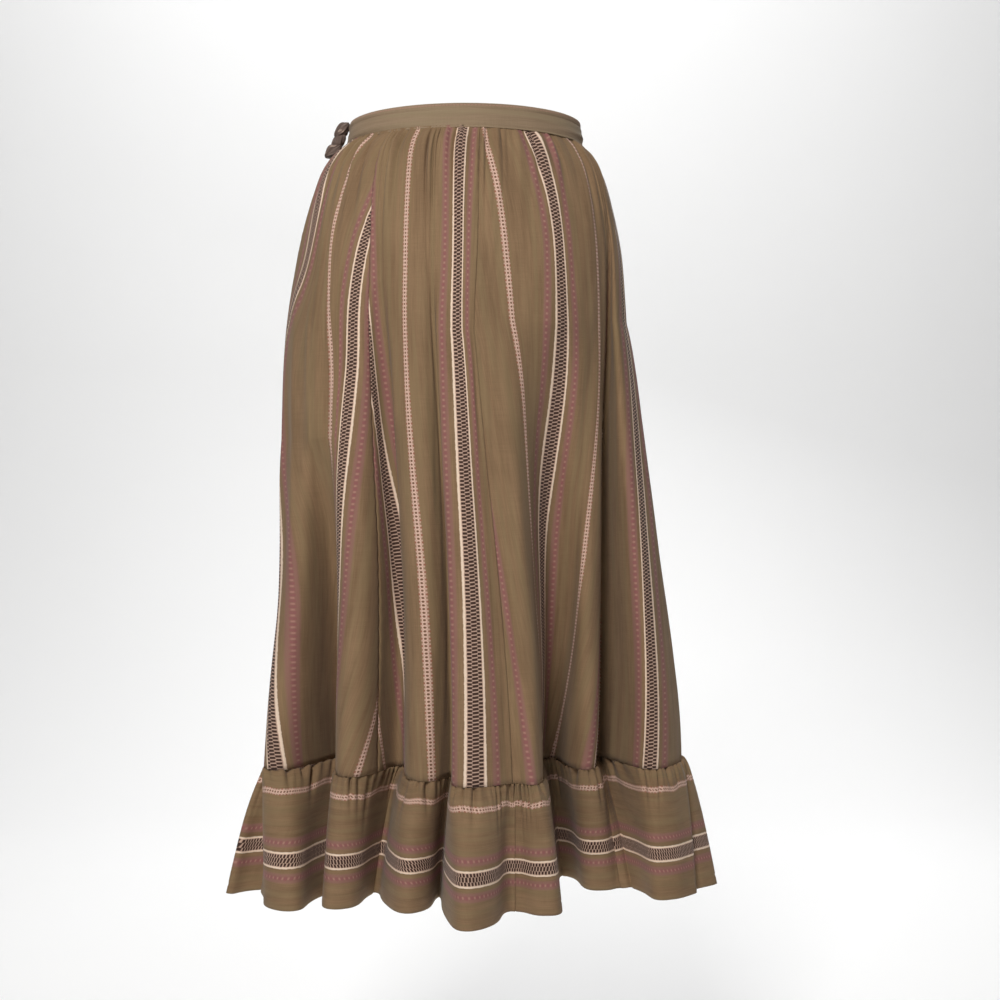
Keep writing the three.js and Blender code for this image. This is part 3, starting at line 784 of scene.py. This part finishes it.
# %% Stripe group
GROUND_DARK = srgb(110, 86, 62)
GROUND_LIGHT = srgb(145, 117, 88)
GROUND_OLIVE = srgb(132, 113, 82)
CREAM = srgb(238, 214, 192)
PALE_PINK = srgb(196, 148, 134)
PINK_CREAM = srgb(230, 194, 178)
RING_BROWN = srgb(92, 58, 46)
DASH = srgb(44, 22, 14)
ROSE = srgb(138, 78, 84)
MAUVE_TINT = srgb(140, 98, 92)
RED_SPECK = srgb(150, 66, 58)

stripes, given, made = new_group("woven stripes",
                                 [("Across", FLOAT), ("Down", FLOAT), ("Streaks", FLOAT), ("Olive", FLOAT)],
                                 [("Color", COLOUR), ("Raised", FLOAT)])
across, down = given["Across"], given["Down"]
wander = noise(stripes, place(stripes, across, down, 0.3, 0.3))
wander = calc(stripes, "MULTIPLY", calc(stripes, "SUBTRACT", wander, 0.5), 1.1)
across = calc(stripes, "ADD", across, wander)
signed = calc(stripes, "WRAP", across, REPEAT / 2, -REPEAT / 2)
offset = calc(stripes, "ABSOLUTE", signed)


def near(value, centre, half, soft=0.35):
    """1 within half of a centre, falling to 0 over a soft edge."""
    away = calc(stripes, "ABSOLUTE", calc(stripes, "SUBTRACT", value, centre))
    return between(stripes, away, half + soft, half - soft)


def along_repeat(pitch, shift=0.0):
    """The signed distance down the cloth to the nearest mark of a row of marks."""
    return calc(stripes, "WRAP", calc(stripes, "ADD", down, shift), pitch / 2, -pitch / 2)


def both(*masks):
    """The product of masks."""
    product = masks[0]
    for mask in masks[1:]:
        product = calc(stripes, "MULTIPLY", product, mask)
    return product


def distance(first, second):
    """The length of a two-part vector: the square root of the sum of squares."""
    return calc(stripes, "SQRT", calc(stripes, "ADD", calc(stripes, "POWER", first, 2.0),
                                      calc(stripes, "POWER", second, 2.0)))


# %% Wide stripe
dash_down = along_repeat(DASH_PITCH)
side_dash_down = along_repeat(DASH_PITCH, DASH_PITCH / 2)
wide_field = near(offset, 0.0, WIDE_HALF - 1.2, 0.3)
edge_lines = near(offset, WIDE_HALF - EDGE_LINE_HALF, EDGE_LINE_HALF, 0.3)
slant = calc(stripes, "MULTIPLY", signed, 0.12)
centre_dashes = both(near(signed, 0.0, CENTRE_DASH_HALF[0]),
                     near(calc(stripes, "ADD", dash_down, slant), 0.0, CENTRE_DASH_HALF[1]))
side_dashes = both(near(offset, SIDE_DASH_OFFSET, SIDE_DASH_HALF[0]),
                   near(side_dash_down, 0.0, SIDE_DASH_HALF[1]))

# %% Mauve band
mauve_across = calc(stripes, "SUBTRACT", offset, MAUVE_OFFSET)
mauve_field = near(offset, MAUVE_OFFSET, MAUVE_HALF, 1.2)
rose_marks = both(near(mauve_across, 0.0, ROSE_HALF[0], 0.6),
                  near(along_repeat(ROSE_PITCH), 0.0, ROSE_HALF[1], 0.6))
pink_marks = both(near(mauve_across, 0.0, 1.1, 0.6),
                  near(along_repeat(ROSE_PITCH, ROSE_PITCH / 2), 0.0, 0.9, 0.6))

# %% Narrow chain
chain_across = calc(stripes, "SUBTRACT", REPEAT / 2, offset)
chain_down = along_repeat(CHAIN_PITCH)
ring_away = distance(chain_across, chain_down)
rings = near(ring_away, 1.6, 0.42, 0.3)
side_blobs = near(distance(calc(stripes, "SUBTRACT", chain_across, 2.2),
                           along_repeat(CHAIN_PITCH, CHAIN_PITCH / 2)), 0.0, 0.95)
centre_dots = near(ring_away, 0.0, 0.8)
specks = near(distance(calc(stripes, "SUBTRACT", chain_across, 2.9), along_repeat(2 * CHAIN_PITCH)), 0.0, 0.8)
chain_field = near(chain_across, 0.0, CHAIN_HALF - 0.4)

# %% Lay the colours over each other
LAYERS = (
    (mauve_field, 0.72, MAUVE_TINT),
    (rose_marks, 0.5, ROSE),
    (pink_marks, 0.35, PALE_PINK),
    (wide_field, 0.5, PINK_CREAM),
    (edge_lines, 0.86, CREAM),
    (centre_dashes, 0.95, DASH),
    (side_dashes, 0.95, DASH),
    (chain_field, 0.2, PALE_PINK),
    (side_blobs, 0.5, PINK_CREAM),
    (rings, 0.78, PINK_CREAM),
    (specks, 0.5, RED_SPECK),
    (centre_dots, 0.75, RING_BROWN),
)
colour = paint(stripes, given["Streaks"], GROUND_DARK, GROUND_LIGHT)
colour = paint(stripes, calc(stripes, "MULTIPLY", given["Olive"], 0.45), colour, GROUND_OLIVE)
for mask, share, over in LAYERS:
    colour = paint(stripes, calc(stripes, "MULTIPLY", mask, share), colour, over)
raised = calc(stripes, "MAXIMUM", calc(stripes, "MAXIMUM", rings, edge_lines), wide_field)
feed(stripes, made["Color"], colour)
feed(stripes, made["Raised"], raised)
print("stripe group nodes:", len(stripes.nodes))

# %% [markdown]
# ## Cloth materials
# All the cloth is matt cotton: a high roughness, a little sheen from its loose fibres and a fine bump from
# the threads. The plain band is cut from the same ground with no stripe, and shows a line of paler stitches
# just under its top edge. Stitches made one by one would be thousands of faces for a thread 0.3 mm thick, so
# they are a row of small masks that also raise the bump.

# %% Cloth materials
CLOTH_ROUGHNESS = 0.88
CLOTH_SHEEN = 0.06
BUMP_DISTANCE = 0.00022


def cloth_material(name, bump):
    """A matt cotton with the coordinates of the cloth in millimetres. Returns the material, its tree, its
    shader, the two coordinates and the height socket of its bump."""
    material = bpy.data.materials.new(name)
    material.use_nodes = True
    tree = material.node_tree
    shader = tree.nodes["Principled BSDF"]
    shader.inputs["Roughness"].default_value = CLOTH_ROUGHNESS
    shader.inputs["Sheen Weight"].default_value = CLOTH_SHEEN
    shader.inputs["Specular IOR Level"].default_value = 0.25
    uv = tree.nodes.new("ShaderNodeUVMap")
    uv.uv_map = "Cloth"
    split = tree.nodes.new("ShaderNodeSeparateXYZ")
    tree.links.new(uv.outputs["UV"], split.inputs["Vector"])
    across = calc(tree, "DIVIDE", split.outputs["X"], MM)
    down = calc(tree, "DIVIDE", split.outputs["Y"], MM)
    node = tree.nodes.new("ShaderNodeBump")
    node.inputs["Strength"].default_value = bump
    node.inputs["Distance"].default_value = BUMP_DISTANCE
    tree.links.new(node.outputs["Normal"], shader.inputs["Normal"])
    return material, tree, shader, across, down, node.inputs["Height"]


striped_cotton, tree, shader, across, down, bump_height = cloth_material("striped cotton", 0.8)
woven = use_group(tree, threads, Across=across, Down=down)
pattern = use_group(tree, stripes, Across=across, Down=down, Streaks=woven["Streaks"], Olive=woven["Olive"])
feed(tree, shader.inputs["Base Color"], pattern["Color"])
feed(tree, bump_height, calc(tree, "MULTIPLY_ADD", pattern["Raised"], 0.8, woven["Height"]))

# %% Band material
STITCH_HEIGHT = 9.9
STITCH_PITCH = 3.2
STITCH_HALF_WIDTH = 0.35
STITCH_HALF_LENGTH = 1.2

band_cotton, tree, shader, across, down, bump_height = cloth_material("plain band cotton", 0.9)
woven = use_group(tree, threads, Across=across, Down=down)
ground = paint(tree, woven["Streaks"], srgb(124, 104, 82), srgb(152, 130, 106))
ground = paint(tree, calc(tree, "MULTIPLY", woven["Olive"], 0.5), ground, srgb(139, 123, 96))
stitch_across = calc(tree, "ABSOLUTE", calc(tree, "SUBTRACT", across, STITCH_HEIGHT))
stitch_down = calc(tree, "ABSOLUTE", calc(tree, "WRAP", down, STITCH_PITCH / 2, -STITCH_PITCH / 2))
stitch = calc(tree, "MULTIPLY",
              between(tree, stitch_across, STITCH_HALF_WIDTH + 0.15, STITCH_HALF_WIDTH - 0.15),
              between(tree, stitch_down, STITCH_HALF_LENGTH + 0.15, STITCH_HALF_LENGTH - 0.15))
colour = paint(tree, calc(tree, "MULTIPLY", stitch, 0.6), ground, srgb(178, 128, 116))
feed(tree, shader.inputs["Base Color"], colour)
feed(tree, bump_height, calc(tree, "MULTIPLY_ADD", stitch, 0.8, woven["Height"]))

# %% Tie material
tie_cotton_painted_shade = bpy.data.materials.new("tie cotton with painted shade")
tie_cotton_painted_shade.use_nodes = True
tree = tie_cotton_painted_shade.node_tree
shader = tree.nodes["Principled BSDF"]
shader.inputs["Roughness"].default_value = CLOTH_ROUGHNESS
shader.inputs["Sheen Weight"].default_value = CLOTH_SHEEN
coordinates = tree.nodes.new("ShaderNodeTexCoord")
split = tree.nodes.new("ShaderNodeSeparateXYZ")
tree.links.new(coordinates.outputs["Object"], split.inputs["Vector"])
side, upward = (calc(tree, "DIVIDE", split.outputs[axis], MM) for axis in ("Y", "Z"))
woven = use_group(tree, threads, Across=side, Down=upward)
# Painted shade: the tie's colour is its own cloth made darker and greyer than the skirt's ground, standing in
# for the shade it lies in.
colour = paint(tree, woven["Streaks"], srgb(66, 52, 46), srgb(128, 108, 98))
pale = between(tree, noise(tree, place(tree, side, upward, 0.5, 0.16, 2.0), 1.0), 0.6, 0.68)
colour = paint(tree, calc(tree, "MULTIPLY", pale, 0.55), colour, srgb(196, 172, 156))
feed(tree, shader.inputs["Base Color"], colour)
bump = tree.nodes.new("ShaderNodeBump")
bump.inputs["Strength"].default_value = 0.8
bump.inputs["Distance"].default_value = BUMP_DISTANCE
tree.links.new(woven["Height"], bump.inputs["Height"])
tree.links.new(bump.outputs["Normal"], shader.inputs["Normal"])
print("materials:", [m.name for m in (striped_cotton, band_cotton, tie_cotton_painted_shade)])

# %% [markdown]
# ## Put each piece in its place
# Every piece takes its material, rides on the one body of the skirt, and hides the imported solid of the same
# name.

# %% Pieces and their materials
for gore, name, waist_width, seam_width in gores:
    gore.data.materials.append(striped_cotton)
    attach(gore, "root")
    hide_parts(name)

for ruffle, name, length in ruffles:
    ruffle.data.materials.append(striped_cotton)
    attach(ruffle, "root")
    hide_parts(name)

for band, name in bands:
    band.data.materials.append(band_cotton)
    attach(band, "root")
    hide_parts(name)

for tie, name in ties:
    tie.data.materials.append(tie_cotton_painted_shade)
    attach(tie, "root")
    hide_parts(name)

# %% [markdown]
# ## Floor, backdrop and light
# One smooth pale surface runs from the floor up behind the skirt, so that there is no line where they meet.
# The light is soft and comes from the front: a broad lamp above the camera, a weaker one on each side, one
# for the backdrop and one for the back of the skirt. A picture of a sky or a room would light it too, but
# lamps are easy to place and keep the floor plain.

# %% Sweep
FLOOR_HEIGHT = -1.15
SWEEP_HALF_WIDTH = 4.5
SWEEP_FRONT = -4.0
WALL_PLACE = 3.2
SWEEP_RADIUS = 1.2
WALL_TOP = 3.0

turn = np.linspace(0, np.pi / 2, 32)
bend_y = WALL_PLACE - SWEEP_RADIUS + SWEEP_RADIUS * np.sin(turn)
bend_z = SWEEP_RADIUS - SWEEP_RADIUS * np.cos(turn)
profile_y = np.concatenate([[SWEEP_FRONT], bend_y, [WALL_PLACE]])
profile_z = np.concatenate([[0], bend_z, [WALL_TOP]]) + FLOOR_HEIGHT
side = np.array([SWEEP_HALF_WIDTH, -SWEEP_HALF_WIDTH])
sweep_points = np.stack(np.broadcast_arrays(side[None, :], profile_y[:, None], profile_z[:, None]), axis=-1)
sweep = grid_mesh("sweep", sweep_points / MM)
pale_paper = bpy.data.materials.new("pale paper")
pale_paper.use_nodes = True
tree = pale_paper.node_tree
shader = tree.nodes["Principled BSDF"]
shader.inputs["Roughness"].default_value = 0.9
shader.inputs["Specular IOR Level"].default_value = 0.1
coordinates = tree.nodes.new("ShaderNodeTexCoord")
clouds = noise(tree, coordinates.outputs["Object"], 3.0)
feed(tree, shader.inputs["Base Color"], paint(tree, clouds, srgb(237, 237, 237), srgb(242, 242, 242)))
sweep.data.materials.append(pale_paper)


# %% Lights
def lamp(name, power, size, place_at, look_at, colour=(1.0, 1.0, 1.0)):
    """A square lamp that faces a point."""
    data = bpy.data.lights.new(name, "AREA")
    data.energy = power
    data.size = size
    data.color = colour
    light = bpy.data.objects.new(name, data)
    light.location = place_at
    away = np.array(place_at) - np.array(look_at)
    yaw = math.atan2(away[1], away[0]) + math.pi / 2
    light.rotation_euler = (math.acos(away[2] / np.linalg.norm(away)), 0, yaw)
    bpy.context.scene.collection.objects.link(light)


SKIRT_MIDDLE = (0.0, 0.0, -0.4)
lamp("front lamp", 64, 0.6, (-0.5, -2.35, 1.05), SKIRT_MIDDLE, (1.0, 0.99, 0.97))
lamp("left lamp", 2, 1.2, (-2.4, -0.9, 0.3), SKIRT_MIDDLE)
lamp("right lamp", 2.5, 1.2, (2.4, -0.9, 0.3), SKIRT_MIDDLE)
lamp("backdrop lamp", 84, 2.5, (0.0, 1.2, 2.4), (0.0, 3.2, -0.2))
lamp("rear lamp", 30, 1.2, (0.6, 2.4, 1.2), SKIRT_MIDDLE)

world = bpy.data.worlds.new("studio")
world.use_nodes = True
world.node_tree.nodes["Background"].inputs["Color"].default_value = (0.93, 0.96, 1.0, 1.0)
world.node_tree.nodes["Background"].inputs["Strength"].default_value = 0.04
bpy.context.scene.world = world
bpy.context.scene.view_settings.view_transform = "Standard"
